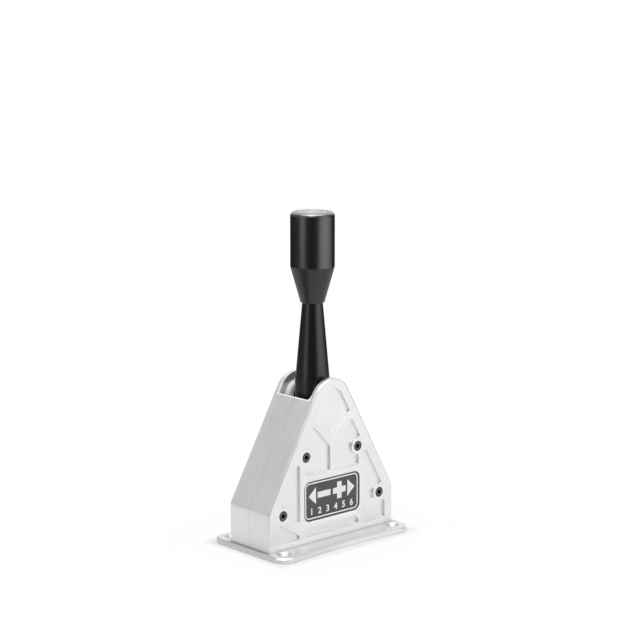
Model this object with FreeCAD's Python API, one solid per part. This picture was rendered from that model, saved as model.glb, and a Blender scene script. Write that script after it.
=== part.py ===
import FreeCAD, Part
import math
import os

# A bench-top sequential gear shifter: a lever on an axle in two bushes, held upright by two
# opposed springs inside a machined two-part aluminium housing that stands on a bolt-down plate.
# Millimetres. The origin is the centre of the plate's underside, +Z is up, +X runs along the
# broad face that carries the badge, and that face looks towards -Y.

V = FreeCAD.Vector
os.makedirs("parts", exist_ok=True)

# Base plate
plate_length = 126.0
plate_ear_width = 78.0
plate_waist_width = 71.6
plate_thickness = 4.0
plate_corner_radius = 10.5
plate_edge_chamfer = 1.2
mount_hole_radius = 2.75
mount_countersink_radius = 5.2
mount_hole_inset = 10.5

# Housing, whose two halves meet at y = 0
housing_width = 120.0
housing_depth = 42.0
bend_above_plate = 27.8
bend_radius = 9.0
arch_radius = 17.5
face_wall = 5.0
outline_chamfer = 1.0

# Mouth in which the lever swings: its front corners keep the cutter's radius
mouth_half_length = 18.0
mouth_front_wall = 4.0
mouth_corner_radius = 3.0

# Pockets milled into the front face, with ribs left standing between them
pocket_depth = 1.7
pocket_corner_radius = 1.8
pocket_rim = 7.9
pocket_bottom_rim = 4.2
kite_rim = 6.9
kite_tip_above_plate = 72.5
rib = 5.2
centre_rib = 4.4
badge_rib = 4.6
low_rib = 4.3
foot_rib = 7.0
brace_angle = 45.5
foot_brace_angle = 30.8
screw_island_radius = 6.0
mid_pocket_half_length = 25.7
mid_shoulder_rise = 5.2
low_slot_height = 6.7
low_slot_half_length = 25.4

# Housing screws: socket caps that pass through the front half into the rear half
screw_slope_inset = 13.5
upper_screw_above_plate = 62.4
lower_screw_above_plate = 24.2
cap_head_radius = 3.5
cap_head_height = 4.0
cap_thread_radius = 2.0
cap_screw_length = 30.0
cap_socket_across = 3.0
cap_socket_depth = 2.0
cap_recess = 0.1
screw_wall = 1.4
tap_depth = 1.0

# Badge
badge_width = 53.2
badge_height = 28.6
badge_above_plate = 29.75
badge_corner_radius = 4.9
badge_thickness = 1.0
badge_recess = 1.7

# Pivot: an axle that turns in two bushes
pivot_above_plate = 98.0
axle_radius = 4.0
bush_wall = 2.0
bush_length = 3.5
bush_boss_radius = 11.5
bush_boss_proud = 1.5

# Lever: a round bar at the pivot, with a collar to each bush, and a tapered shaft above it
bar_radius = 12.5
bar_rise = 11.5
bar_drop = 24.0
collar_radius = 5.5
shaft_length = 57.6
shaft_top_radius = 7.3

# Lever below the bar: a flat arm with a round cam and a magnet in its end
arm_half_thickness = 6.0
arm_root_half_width = 7.0
arm_root = 6.0
arm_half_width = 4.5
arm_taper_length = 10.0
cam_radius = 6.0
cam_drop = 57.0
arm_drop = 89.0
magnet_side = 5.0
magnet_height = 3.0

# Knob, with a stud moulded into it that screws into the lever
knob_length = 64.5
knob_cone_length = 25.8
knob_radius = 15.7
knob_bottom_radius = 8.5
knob_top_round = 3.0
stud_radius = 4.0
stud_length = 50.0
cap_disc_radius = 10.4
cap_disc_thickness = 2.0
cap_groove = 0.25

# Swing to each side of upright
swing_limit = 7.0

# Spring plungers, square cups that slide in channels milled into the towers. The housing
# halves clamp the towers between them.
plunger_half = 6.0
plunger_wall = 1.4
plunger_face = 3.0
tower_inner_x = 18.0
tower_end_wall = 3.5
tower_gap = 0.5
cover_thickness = 3.0
spring_radius = 4.3
buffer_side = 9.0
buffer_drop = 74.0

# Sensor board
board_length = 30.0
board_front_y = -14.0
board_thickness = 1.6
support_side = 5.0
support_height = 3.5
support_x = 11.5
support_y = 10.0
hall_spacing = 16.0
hall_size = (3.0, 2.9, 1.1)
chip_size = (6.0, 6.0, 0.9)
chip_y = -8.0
usb_width = 8.0
usb_height = 3.4
usb_bevel = 1.2
usb_length = 7.35
usb_overhang = 1.5
usb_back = 1.0
usb_shell = 0.4
usb_tongue_width = 5.4
usb_tongue_thickness = 0.8

# Clearances
running_gap = 0.05
bush_gap = 0.1
press_gap = 0.02
screw_gap = 0.15
thread_gap = 0.05
rest_gap = 0.3
socket_gap = 0.2

# How far a cut or a joined solid reaches past the face that it meets
overlap = 0.5

# How close to a plane an edge lies that belongs to it
near = 0.001

# Heights and half sizes that follow from the dimensions above
half_width = housing_width / 2
half_depth = housing_depth / 2
housing_bottom = plate_thickness
bend_z = plate_thickness + bend_above_plate
pivot_z = plate_thickness + pivot_above_plate
cavity_half = half_depth - face_wall
mouth_front = half_depth - mouth_front_wall
boss_face = cavity_half - bush_boss_proud
bush_back = boss_face + bush_length
bush_radius = axle_radius + bush_wall
upper_screw_z = plate_thickness + upper_screw_above_plate
lower_screw_z = plate_thickness + lower_screw_above_plate
screw_seat = half_depth - cap_recess - cap_head_height
badge_z = plate_thickness + badge_above_plate
bar_top = pivot_z + bar_rise
bar_bottom = pivot_z - bar_drop
shaft_top = bar_top + shaft_length
knob_top = shaft_top + knob_length
cam_z = pivot_z - cam_drop
arm_bottom = pivot_z - arm_drop
board_z = plate_thickness + support_height
board_top = board_z + board_thickness
board_rear_y = half_depth - pocket_depth - usb_length
usb_z = board_top + usb_height / 2
swing = math.radians(swing_limit)
channel_half = plunger_half + running_gap
tower_top = cam_z + channel_half
cover_top = tower_top + cover_thickness
room_top = cover_top + tower_gap

# The sloped side touches the arch: its angle follows from the bend, the pivot and the arch.
slope_angle = math.atan2(pivot_z - bend_z, half_width) + math.asin(
    arch_radius / math.hypot(half_width, pivot_z - bend_z)
)
slope_sin = math.sin(slope_angle)
slope_cos = math.cos(slope_angle)


def slope_x(z, distance):
    """x, at height z, of the line along the right slope at a distance from the pivot."""
    return (distance - slope_cos * (z - pivot_z)) / slope_sin


def slope_z(x, distance):
    """Height, at x, of the same line."""
    return pivot_z + (distance - slope_sin * x) / slope_cos


# Places along x that follow from the slope
upper_screw_x = slope_x(upper_screw_z, arch_radius - screw_slope_inset)
lower_screw_x = slope_x(lower_screw_z, arch_radius - screw_slope_inset)
screw_places = [(upper_screw_x, upper_screw_z), (lower_screw_x, lower_screw_z)]
screw_places += [(-x, z) for x, z in screw_places]
room_half_length = lower_screw_x - cap_head_radius - screw_gap - screw_wall
tower_outer_x = room_half_length - tower_gap
spring_seat_x = tower_outer_x - tower_end_wall
plunger_face_x = cam_radius + rest_gap
plunger_end_x = spring_seat_x - cam_drop * swing - rest_gap


def rod(radius, start, end):
    """Cylinder between two points."""
    axis = end.sub(start)
    return Part.makeCylinder(radius, axis.Length, start, axis)


def tube(outer, inner, start, end):
    """Hollow cylinder between two points."""
    return rod(outer, start, end).cut(rod(inner, start, end))


def cone(start_radius, end_radius, start, end):
    """Truncated cone between two points."""
    axis = end.sub(start)
    return Part.makeCone(start_radius, end_radius, axis.Length, start, axis)


def block(x0, x1, y0, y1, z0, z1):
    """Box between two corners given as ranges."""
    return Part.makeBox(x1 - x0, y1 - y0, z1 - z0, V(x0, y0, z0))


def hexagon(across, start, end):
    """Hexagonal prism between two points."""
    axis = end.sub(start)
    corner = across / math.sqrt(3)
    flat = [V(corner * math.cos(k * math.pi / 3), corner * math.sin(k * math.pi / 3), 0) for k in range(6)]
    prism = Part.Face(Part.makePolygon(flat + flat[:1])).extrude(V(0, 0, axis.Length))
    prism.Placement = FreeCAD.Placement(start, FreeCAD.Rotation(V(0, 0, 1), axis))
    return prism


def closed_face(place, start, steps):
    """Flat face; a step is an end point, or a point on an arc with its end point."""
    edges = []
    here = place(*start)
    for step in steps:
        if isinstance(step[0], tuple):
            there = place(*step[1])
            edges.append(Part.Arc(here, place(*step[0]), there).toShape())
        else:
            there = place(*step)
            edges.append(Part.LineSegment(here, there).toShape())
        here = there
    return Part.Face(Part.Wire(edges))


def upright(y):
    """Places (x, z) points in the upright plane at y."""
    return lambda x, z: V(x, y, z)


def turned(profile):
    """Solid of revolution about the vertical axis from (radius, z) steps."""
    return closed_face(upright(0), profile[0], profile[1:]).revolve(V(0, 0, 0), V(0, 0, 1), 360)


def rounded(face, radius):
    """The face with its outward corners rounded: shrunk, then grown back with round joins."""
    return face.makeOffset2D(-radius, join=0).makeOffset2D(radius, join=0)


def fused(shapes):
    """One solid from overlapping shapes."""
    return shapes[0].multiFuse(shapes[1:]).removeSplitter()


def left_of(shape):
    """Mirror image across x = 0."""
    return shape.mirror(V(0, 0, 0), V(1, 0, 0))


def housing_face(y):
    """Outline of the housing, as a face in the plane y."""
    lean = math.pi / 2 - slope_angle
    centre_x = half_width - bend_radius
    centre_z = slope_z(half_width, arch_radius) - bend_radius * math.tan(lean / 2)
    bend_mid = (centre_x + bend_radius * math.cos(lean / 2), centre_z + bend_radius * math.sin(lean / 2))
    bend_end = (centre_x + bend_radius * slope_sin, centre_z + bend_radius * slope_cos)
    arch_end = (arch_radius * slope_sin, pivot_z + arch_radius * slope_cos)
    steps = [
        (half_width, housing_bottom),
        (half_width, centre_z),
        (bend_mid, bend_end),
        arch_end,
        ((0, pivot_z + arch_radius), (-arch_end[0], arch_end[1])),
        (-bend_end[0], bend_end[1]),
        ((-bend_mid[0], bend_mid[1]), (-half_width, centre_z)),
        (-half_width, housing_bottom),
    ]
    return closed_face(upright(y), (-half_width, housing_bottom), steps)


def pocket_faces(y):
    """The pocket outlines of the front face, mirrored about x = 0."""
    badge_half = badge_width / 2
    mid_bottom = badge_z + badge_height / 2 + badge_rib
    brace = math.tan(math.radians(brace_angle))
    foot_brace = math.tan(math.radians(foot_brace_angle))
    kite_tip = plate_thickness + kite_tip_above_plate
    kite = arch_radius - kite_rim
    rim = arch_radius - pocket_rim

    def where_brace_meets_slope(start_z, distance):
        """Point where a brace from (0, start_z) reaches the line along the slope."""
        x = (distance - slope_cos * (start_z - pivot_z)) / (slope_sin + slope_cos * brace)
        return (x, start_z + brace * x)

    kite_corner = where_brace_meets_slope(kite_tip, kite)
    kite_arc = (kite * slope_sin, pivot_z + kite * slope_cos)
    kite_steps = [
        kite_corner,
        kite_arc,
        ((0, pivot_z + kite), (-kite_arc[0], kite_arc[1])),
        (-kite_corner[0], kite_corner[1]),
        (0, kite_tip),
    ]
    kite_face = rounded(closed_face(upright(y), (0, kite_tip), kite_steps), pocket_corner_radius)

    mid_brace = kite_tip - rib / math.cos(math.radians(brace_angle))
    mid_corner = (centre_rib / 2, mid_brace + brace * centre_rib / 2)
    shoulder_z = upper_screw_z + mid_shoulder_rise
    mid = closed_face(upright(y), (centre_rib / 2, mid_bottom), [
        (mid_pocket_half_length, mid_bottom),
        (mid_pocket_half_length, upper_screw_z),
        (slope_x(shoulder_z, rim), shoulder_z),
        where_brace_meets_slope(mid_brace, rim),
        mid_corner,
        (centre_rib / 2, mid_bottom),
    ])

    low_x = badge_half + low_rib
    low_bottom = lower_screw_z - foot_brace * (lower_screw_x - low_x)
    low_shoulder = lower_screw_z + screw_island_radius
    low = closed_face(upright(y), (low_x, low_bottom), [
        (lower_screw_x, lower_screw_z),
        (slope_x(low_shoulder, rim), low_shoulder),
        (low_x, slope_z(low_x, rim)),
        (low_x, low_bottom),
    ])

    floor_z = housing_bottom + pocket_bottom_rim
    foot_top = low_bottom - foot_rib / math.cos(math.radians(foot_brace_angle))
    foot_side = half_width - pocket_rim
    foot = closed_face(upright(y), (low_x, floor_z), [
        (foot_side, floor_z),
        (foot_side, foot_top + foot_brace * (foot_side - low_x)),
        (low_x, foot_top),
        (low_x, floor_z),
    ])

    slot_end = low_slot_half_length
    slot_round = low_slot_height / 2
    slot = closed_face(upright(y), (slot_round - slot_end, floor_z), [
        (slot_end - slot_round, floor_z),
        ((slot_end, floor_z + slot_round), (slot_end - slot_round, floor_z + low_slot_height)),
        (slot_round - slot_end, floor_z + low_slot_height),
        ((-slot_end, floor_z + slot_round), (slot_round - slot_end, floor_z)),
    ])

    faces = [kite_face, slot]
    for outline, (x, z) in zip((mid, low), screw_places):
        ring = Part.makeCircle(screw_island_radius, V(x, y, z), V(0, 1, 0))
        island = Part.Face(Part.Wire(ring))
        face = rounded(outline.cut(island).Faces[0], pocket_corner_radius)
        faces += [face, left_of(face)]
    foot = rounded(foot, pocket_corner_radius)
    return faces + [foot, left_of(foot)]


def base_plate():
    """Flat plate whose long sides bow in a little and run into its round corners, its top edge
    chamfered."""
    half_length = plate_length / 2
    half_ear = plate_ear_width / 2
    half_waist = plate_waist_width / 2
    radius = plate_corner_radius
    centre_x = half_length - radius
    centre_y = half_ear - radius
    drop = half_waist - centre_y
    bow_radius = (centre_x**2 + drop**2 - radius**2) / (2 * (half_ear - half_waist))
    bow = math.asin(centre_x / (bow_radius + radius))
    corner_middle = math.pi / 4 + bow / 2
    quarter = closed_face(lambda x, y: V(x, y, 0), (0, 0), [
        (half_length, 0),
        (half_length, centre_y),
        ((centre_x + radius * math.cos(corner_middle), centre_y + radius * math.sin(corner_middle)),
         (bow_radius * math.sin(bow), half_waist + bow_radius * (1 - math.cos(bow)))),
        ((bow_radius * math.sin(bow / 2), half_waist + bow_radius * (1 - math.cos(bow / 2))),
         (0, half_waist)),
        (0, 0),
    ]).extrude(V(0, 0, plate_thickness))
    half = fused([quarter, left_of(quarter)])
    plate = fused([half, half.mirror(V(0, 0, 0), V(0, 1, 0))])
    rim = [edge for edge in plate.Edges if edge.BoundBox.ZMin > plate_thickness - near]
    plate = plate.makeChamfer(plate_edge_chamfer, rim)

    inset_x = half_length - mount_hole_inset
    inset_y = half_ear - mount_hole_inset
    depth = mount_countersink_radius - mount_hole_radius
    cuts = []
    for x in (inset_x, -inset_x):
        for y in (inset_y, -inset_y):
            mouth = V(x, y, plate_thickness)
            cuts.append(rod(mount_hole_radius, V(x, y, -overlap), mouth))
            cuts.append(cone(mount_hole_radius, mount_countersink_radius, mouth.sub(V(0, 0, depth)), mouth))
    return plate.cut(Part.makeCompound(cuts))


def mouth_cut():
    """The slot through the arch in which the lever swings."""
    end = mouth_half_length
    radius = mouth_corner_radius
    corner = radius * (1 - math.sqrt(0.5))
    plan = closed_face(lambda x, y: V(x, y, room_top - overlap), (radius - end, -mouth_front), [
        (end - radius, -mouth_front),
        ((end - corner, corner - mouth_front), (end, radius - mouth_front)),
        (end, cavity_half),
        (-end, cavity_half),
        (-end, radius - mouth_front),
        ((corner - end, corner - mouth_front), (radius - end, -mouth_front)),
    ])
    return plan.extrude(V(0, 0, pivot_z + 2 * arch_radius - room_top))


def room_cut():
    """The room below the mouth for the arm, the towers and the board."""
    return block(
        -room_half_length, room_half_length, -cavity_half, cavity_half, housing_bottom - overlap, room_top,
    )


def rim_edges(solid, y):
    """Edges of the housing's outline in the plane y, without the foot that stands on the plate."""
    return [
        edge for edge in solid.Edges
        if abs(edge.BoundBox.YMin - y) < near
        and abs(edge.BoundBox.YMax - y) < near
        and edge.BoundBox.ZMax > housing_bottom + near
    ]


def housing_half(side):
    """One machined half; side is -1 for the front half and +1 for the rear half."""
    face_y = side * half_depth
    blank = housing_face(face_y).extrude(V(0, -face_y, 0))
    blank = blank.makeChamfer(outline_chamfer, rim_edges(blank, face_y))
    shell = blank.cut(fused([room_cut(), mouth_cut()]))
    boss_root = V(0, side * (mouth_front + overlap), pivot_z)
    shell = fused([shell, rod(bush_boss_radius, V(0, side * boss_face, pivot_z), boss_root)])

    cuts = [rod(bush_radius + press_gap, V(0, 0, pivot_z), V(0, side * bush_back, pivot_z))]
    if side < 0:
        cuts += front_cuts()
    else:
        cuts += rear_cuts()
    return shell.cut(Part.makeCompound(cuts))


def front_cuts():
    """The pockets, the counterbored screw holes and the badge recess."""
    cuts = [face.extrude(V(0, pocket_depth, 0)) for face in pocket_faces(-half_depth)]
    for x, z in screw_places:
        outside = V(x, -half_depth - overlap, z)
        cuts.append(rod(cap_head_radius + screw_gap, outside, V(x, -screw_seat, z)))
        cuts.append(rod(cap_thread_radius + screw_gap, outside, V(x, overlap, z)))
    cuts.append(badge_face(-half_depth, screw_gap).extrude(V(0, badge_recess, 0)))
    return cuts


def rear_cuts():
    """The threaded screw holes and the opening for the data socket."""
    cuts = []
    for x, z in screw_places:
        thread_end = cap_screw_length - screw_seat + tap_depth
        cuts.append(rod(cap_thread_radius + thread_gap, V(x, -overlap, z), V(x, thread_end, z)))
    cuts.append(usb_outline(socket_gap, board_rear_y).extrude(V(0, half_depth, 0)))
    return cuts


def badge_face(y, grow):
    """Outline of the badge in the plane y, enlarged all round by grow."""
    x = badge_width / 2 + grow
    z0 = badge_z - badge_height / 2 - grow
    z1 = badge_z + badge_height / 2 + grow
    plain = closed_face(upright(y), (-x, z0), [(x, z0), (x, z1), (-x, z1), (-x, z0)])
    return rounded(plain, badge_corner_radius + grow)


def badge_plate():
    """The badge, which lies below the face in its recess."""
    front = -half_depth + badge_recess - badge_thickness
    return badge_face(front, 0).extrude(V(0, badge_thickness, 0))


def cap_screw(seat):
    """Socket cap screw along +Y whose head rests at seat."""
    top = seat.sub(V(0, cap_head_height, 0))
    head = rod(cap_head_radius, top, seat)
    shank = rod(cap_thread_radius, seat, seat.add(V(0, cap_screw_length, 0)))
    socket = hexagon(cap_socket_across, top, top.add(V(0, cap_socket_depth, 0)))
    return fused([head, shank]).cut(socket)


def housing_screws():
    """The four screws that hold the halves together."""
    return Part.makeCompound([cap_screw(V(x, -screw_seat, z)) for x, z in screw_places])


def bush(side):
    """Bearing bush pressed into a boss of the housing."""
    start = V(0, side * boss_face, pivot_z)
    return tube(bush_radius, axle_radius + bush_gap, start, V(0, side * bush_back, pivot_z))


def axle():
    """Pin pressed into the lever; the closed ends of its bushes' bores keep it in place."""
    end = bush_back - rest_gap
    return rod(axle_radius, V(0, -end, pivot_z), V(0, end, pivot_z))


def shift_lever():
    """One machined piece: tapered shaft, round bar, the collars beside it and the flat arm."""
    shaft = cone(bar_radius, shaft_top_radius, V(0, 0, bar_top), V(0, 0, shaft_top))
    bar = rod(bar_radius, V(0, 0, bar_bottom), V(0, 0, bar_top))
    collar_end = boss_face - rest_gap
    collars = rod(collar_radius, V(0, -collar_end, pivot_z), V(0, collar_end, pivot_z))
    lever = fused([shaft, bar, collars, arm()])
    magnet_half = magnet_side / 2 + press_gap
    stud_hole_end = V(0, 0, shaft_top - stud_length - tap_depth)
    cuts = [
        rod(axle_radius + press_gap, V(0, -half_depth, pivot_z), V(0, half_depth, pivot_z)),
        rod(stud_radius + thread_gap, stud_hole_end, V(0, 0, shaft_top + overlap)),
        block(
            -magnet_half, magnet_half, -magnet_half, magnet_half,
            arm_bottom - overlap, arm_bottom + magnet_height,
        ),
    ]
    return lever.cut(Part.makeCompound(cuts))


def arm():
    """Flat arm below the bar, with a round cam between the plungers and a tongue below it."""
    taper_end = bar_bottom - arm_taper_length
    cam_side = math.sqrt(cam_radius**2 - arm_half_width**2)
    face = closed_face(upright(-arm_half_thickness), (-arm_half_width, arm_bottom), [
        (arm_half_width, arm_bottom),
        (arm_half_width, cam_z - cam_side),
        ((cam_radius, cam_z), (arm_half_width, cam_z + cam_side)),
        (arm_half_width, taper_end),
        (arm_root_half_width, bar_bottom),
        (arm_root_half_width, bar_bottom + arm_root),
        (-arm_root_half_width, bar_bottom + arm_root),
        (-arm_root_half_width, bar_bottom),
        (-arm_half_width, taper_end),
        (-arm_half_width, cam_z + cam_side),
        ((-cam_radius, cam_z), (-arm_half_width, cam_z - cam_side)),
        (-arm_half_width, arm_bottom),
    ])
    return face.extrude(V(0, 2 * arm_half_thickness, 0))


def sensor_magnet():
    """Magnet let into the end of the arm."""
    half = magnet_side / 2
    return block(-half, half, -half, half, arm_bottom, arm_bottom + magnet_height)


def knob():
    """Turned grip: cone, cylinder and bevelled top edge, with a seat for the cap and its stud."""
    cone_top = shaft_top + knob_cone_length
    bevel = knob_top_round * (1 - math.sqrt(0.5))
    disc_seat = knob_top - cap_disc_thickness
    seat_radius = cap_disc_radius + cap_groove
    grip = turned([
        (0, shaft_top),
        (knob_bottom_radius, shaft_top),
        (knob_radius, cone_top),
        (knob_radius, knob_top - knob_top_round),
        (knob_radius - bevel, knob_top - bevel),
        (knob_radius - knob_top_round, knob_top),
        (seat_radius, knob_top),
        (seat_radius, disc_seat),
        (0, disc_seat),
        (0, shaft_top),
    ])
    return fused([grip, rod(stud_radius, V(0, 0, shaft_top - stud_length), V(0, 0, shaft_top + overlap))])


def knob_cap():
    """Disc let into the top of the knob."""
    return rod(cap_disc_radius, V(0, 0, knob_top - cap_disc_thickness), V(0, 0, knob_top))


def spring_tower():
    """Right-hand guide block, with a channel for the plunger that is open above and inwards."""
    body = block(tower_inner_x, tower_outer_x, -cavity_half, cavity_half, plate_thickness, tower_top)
    return body.cut(block(
        tower_inner_x - overlap, spring_seat_x, -channel_half, channel_half,
        cam_z - channel_half, tower_top + overlap,
    ))


def tower_cover():
    """Right-hand lid that closes the channel."""
    return block(tower_inner_x, tower_outer_x, -cavity_half, cavity_half, tower_top, cover_top)


def plunger():
    """Right-hand plunger: a square cup with the spring inside it."""
    half = plunger_half
    room = half - plunger_wall
    cup = block(plunger_face_x, plunger_end_x, -half, half, cam_z - half, cam_z + half)
    return cup.cut(block(
        plunger_face_x + plunger_face, plunger_end_x + overlap, -room, room, cam_z - room, cam_z + room,
    ))


def spring():
    """Right-hand return spring, as the cylinder that its coils fill."""
    start = V(plunger_face_x + plunger_face, 0, cam_z)
    return rod(spring_radius, start, V(spring_seat_x, 0, cam_z))


def buffer():
    """Right-hand rubber pad; at the swing limit the arm stops a rest gap short of it."""
    half = buffer_side / 2
    z = pivot_z - buffer_drop
    tongue = (pivot_z - z + half + arm_half_width * math.sin(swing)) / math.cos(swing)
    reach = arm_half_width * math.cos(swing) + tongue * math.sin(swing)
    return block(reach + rest_gap, tower_inner_x, -half, half, z - half, z + half)


def sensor_board():
    """Circuit board that lies on the supports."""
    return block(
        -board_length / 2, board_length / 2, board_front_y, board_rear_y + usb_overhang, board_z, board_top,
    )


def board_supports():
    """Four blocks between the plate and the board."""
    half = support_side / 2
    return Part.makeCompound([
        block(x - half, x + half, y - half, y + half, plate_thickness, board_z)
        for x in (-support_x, support_x)
        for y in (-support_y, support_y)
    ])


def chip(size, x, y):
    """A flat component of the given size on the board."""
    long, wide, high = size
    return block(x - long / 2, x + long / 2, y - wide / 2, y + wide / 2, board_top, board_top + high)


def hall_sensors():
    """Two field sensors, one to each side of the magnet."""
    return Part.makeCompound([chip(hall_size, sx * hall_spacing / 2, 0) for sx in (-1, 1)])


def controller_chip():
    """The controller in front of the sensors."""
    return chip(chip_size, 0, chip_y)


def usb_outline(grow, y):
    """Outline of the data socket's shell, enlarged by grow, its lower corners bevelled."""
    x = usb_width / 2 + grow
    low = usb_z - usb_height / 2 - grow
    high = usb_z + usb_height / 2 + grow
    return closed_face(upright(y), (usb_bevel - x, low), [
        (x - usb_bevel, low),
        (x, low + usb_bevel),
        (x, high),
        (-x, high),
        (-x, low + usb_bevel),
        (usb_bevel - x, low),
    ])


def usb_socket():
    """Shell of the data socket with its contact tongue."""
    shell = usb_outline(0, board_rear_y).extrude(V(0, usb_length, 0))
    inside = usb_outline(-usb_shell, board_rear_y + usb_back).extrude(V(0, usb_length, 0))
    tongue = block(
        -usb_tongue_width / 2, usb_tongue_width / 2,
        board_rear_y + usb_back - overlap, board_rear_y + usb_length - usb_back,
        usb_z - usb_tongue_thickness / 2, usb_z + usb_tongue_thickness / 2,
    )
    return fused([shell.cut(inside), tongue])


def save(node, shape):
    """Writes one node and prints what it holds."""
    if not shape.isValid() or not shape.Solids:
        raise ValueError(node + " is not a valid solid")
    shape.exportStep("parts/" + node + ".step")
    print(node, len(shape.Solids), "solid(s),", round(sum(s.Volume for s in shape.Solids), 1), "mm3")


right_pieces = {
    "spring_tower": spring_tower(),
    "tower_cover": tower_cover(),
    "plunger": plunger(),
    "spring": spring(),
    "buffer": buffer(),
}
for piece, right_shape in right_pieces.items():
    save("right_" + piece, right_shape)
    save("left_" + piece, left_of(right_shape))

for name, side in (("front", -1), ("rear", 1)):
    save(name + "_housing", housing_half(side))
    save(name + "_bush", bush(side))

save("base_plate", base_plate())
save("housing_screws", housing_screws())
save("badge_plate", badge_plate())
save("axle", axle())
save("shift_lever", shift_lever())
save("sensor_magnet", sensor_magnet())
save("knob", knob())
save("knob_cap", knob_cap())
save("sensor_board", sensor_board())
save("board_supports", board_supports())
save("hall_sensors", hall_sensors())
save("controller_chip", controller_chip())
save("usb_socket", usb_socket())
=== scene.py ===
"""Dresses the sequential shifter: a black lever in a machined aluminium housing on a bolt-down plate.

Lengths in this script are metres, and mm turns a millimetre figure into metres.
"""

import math

import bmesh
import bpy
import numpy as np
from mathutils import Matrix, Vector


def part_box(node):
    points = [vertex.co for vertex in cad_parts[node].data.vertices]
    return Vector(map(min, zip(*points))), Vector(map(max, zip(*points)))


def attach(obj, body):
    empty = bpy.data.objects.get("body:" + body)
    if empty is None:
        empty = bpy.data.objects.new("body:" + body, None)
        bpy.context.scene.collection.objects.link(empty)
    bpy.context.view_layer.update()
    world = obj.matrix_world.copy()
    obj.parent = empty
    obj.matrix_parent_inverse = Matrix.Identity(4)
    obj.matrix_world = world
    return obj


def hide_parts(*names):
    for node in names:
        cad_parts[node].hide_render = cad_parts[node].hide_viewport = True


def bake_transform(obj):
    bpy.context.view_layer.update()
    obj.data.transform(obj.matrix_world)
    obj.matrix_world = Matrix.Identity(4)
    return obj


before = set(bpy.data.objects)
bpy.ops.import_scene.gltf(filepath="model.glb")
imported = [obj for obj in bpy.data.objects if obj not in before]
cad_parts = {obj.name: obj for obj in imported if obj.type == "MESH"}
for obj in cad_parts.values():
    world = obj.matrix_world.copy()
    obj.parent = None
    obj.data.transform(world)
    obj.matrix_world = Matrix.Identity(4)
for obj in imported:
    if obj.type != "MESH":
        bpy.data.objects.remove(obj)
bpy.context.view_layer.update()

mm = 0.001

# The object's own sizes, as the solids have them
pivot_z = 102 * mm
arch_radius = 17.5 * mm
mouth_half = 18 * mm
ear_y = 17 * mm
boss_radius = 11.5 * mm
boss_face_y = 15.5 * mm
half_width = 60 * mm
face_y = -21 * mm
pocket_floor_y = -19.3 * mm
plate_half = (63 * mm, 39 * mm)
plate_top = 4 * mm
plate_hole = (52.5 * mm, 28.5 * mm, 0)
shaft_top = 171.1 * mm
cone_top = shaft_top + 25.8 * mm
knob_top = 235.6 * mm
knob_radius = 15.7 * mm
disc_seat = knob_top - 2 * mm
badge_z = 33.75 * mm
badge_half = (26.6 * mm, 14.3 * mm)
badge_corner = 4.9 * mm
badge_front = -20.3 * mm
badge_back = -19.3 * mm
screw_places = [(24.82 * mm, 66.4 * mm), (46.52 * mm, 28.2 * mm)]
screw_places += [(-x, z) for x, z in screw_places]

# The slope's outward normal and how far the slope lies along it from the middle of the underside
slope_sin = 0.86943
slope_cos = 0.49406
slope_reach = arch_radius + slope_cos * pivot_z

# Sizes and settings that only this script has
housing_edge = 0.15 * mm
plate_edge = 0.3 * mm
lever_edge = 0.25 * mm
collar_end = 12.95 * mm
collar_round = 2.6 * mm
print_height = 0.04 * mm
print_sink = 0.05 * mm
crease_degrees = 28
turned_facets = 128

# The camera, solved from the photograph's perspective
camera_turn = math.radians(42.36)
camera_rise = math.radians(10.15)
camera_distance = 1.3
camera_aim = 163.69 * mm
camera_lens = 105.98
sensor_width = 36
lamp_aim = Vector((0, 0, 120 * mm))


# Studio


def toward_camera(turn=0.0):
    """Level unit vector from the object to the camera, turned about the object to the camera's right."""
    angle = camera_turn - turn
    return Vector((-math.sin(angle), -math.cos(angle), 0))


def place_camera():
    """Puts the camera on a sphere about the aim point, looking at it."""
    camera = bpy.data.objects.new("camera", bpy.data.cameras.new("camera"))
    camera.data.sensor_width = sensor_width
    camera.data.lens = camera_lens
    camera.data.clip_end = 100
    aim = Vector((0, 0, camera_aim))
    out = toward_camera() * math.cos(camera_rise) + Vector((0, 0, math.sin(camera_rise)))
    camera.location = aim + out * camera_distance
    camera.rotation_euler = (-out).to_track_quat("-Z", "Y").to_euler()
    bpy.context.scene.collection.objects.link(camera)
    bpy.context.scene.camera = camera


def soft_light(name, turn, rise, distance, size, radiance, card=False):
    """Rectangular lamp on a sphere about the object's middle, which it faces; radiance 1 is white.

    A card is seen in polish and metal only.
    """
    lamp = bpy.data.lights.new(name, "AREA")
    lamp.shape = "RECTANGLE"
    lamp.size, lamp.size_y = size
    lamp.energy = radiance * math.pi * size[0] * size[1]
    light = bpy.data.objects.new(name, lamp)
    out = toward_camera(math.radians(turn)) * math.cos(math.radians(rise))
    out.z = math.sin(math.radians(rise))
    light.location = lamp_aim + out * distance
    light.rotation_euler = (-out).to_track_quat("-Z", "Y").to_euler()
    light.visible_camera = False
    light.visible_diffuse = not card
    bpy.context.scene.collection.objects.link(light)


# Node helpers


def new_tree(name):
    """Empty node material and its tree."""
    material = bpy.data.materials.new(name)
    material.use_nodes = True
    material.node_tree.nodes.clear()
    return material, material.node_tree


def put(tree, kind, inputs=None, **settings):
    """Adds one shader node, sets its options, and wires or sets its inputs."""
    made = tree.nodes.new("ShaderNode" + kind)
    for name, value in settings.items():
        setattr(made, name, value)
    for key, value in (inputs or {}).items():
        if isinstance(value, bpy.types.NodeSocket):
            tree.links.new(value, made.inputs[key])
        else:
            made.inputs[key].default_value = value
    return made


def calc(tree, operation, *values):
    """Math node over up to three sockets or numbers."""
    return put(tree, "Math", dict(enumerate(values)), operation=operation).outputs[0]


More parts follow.
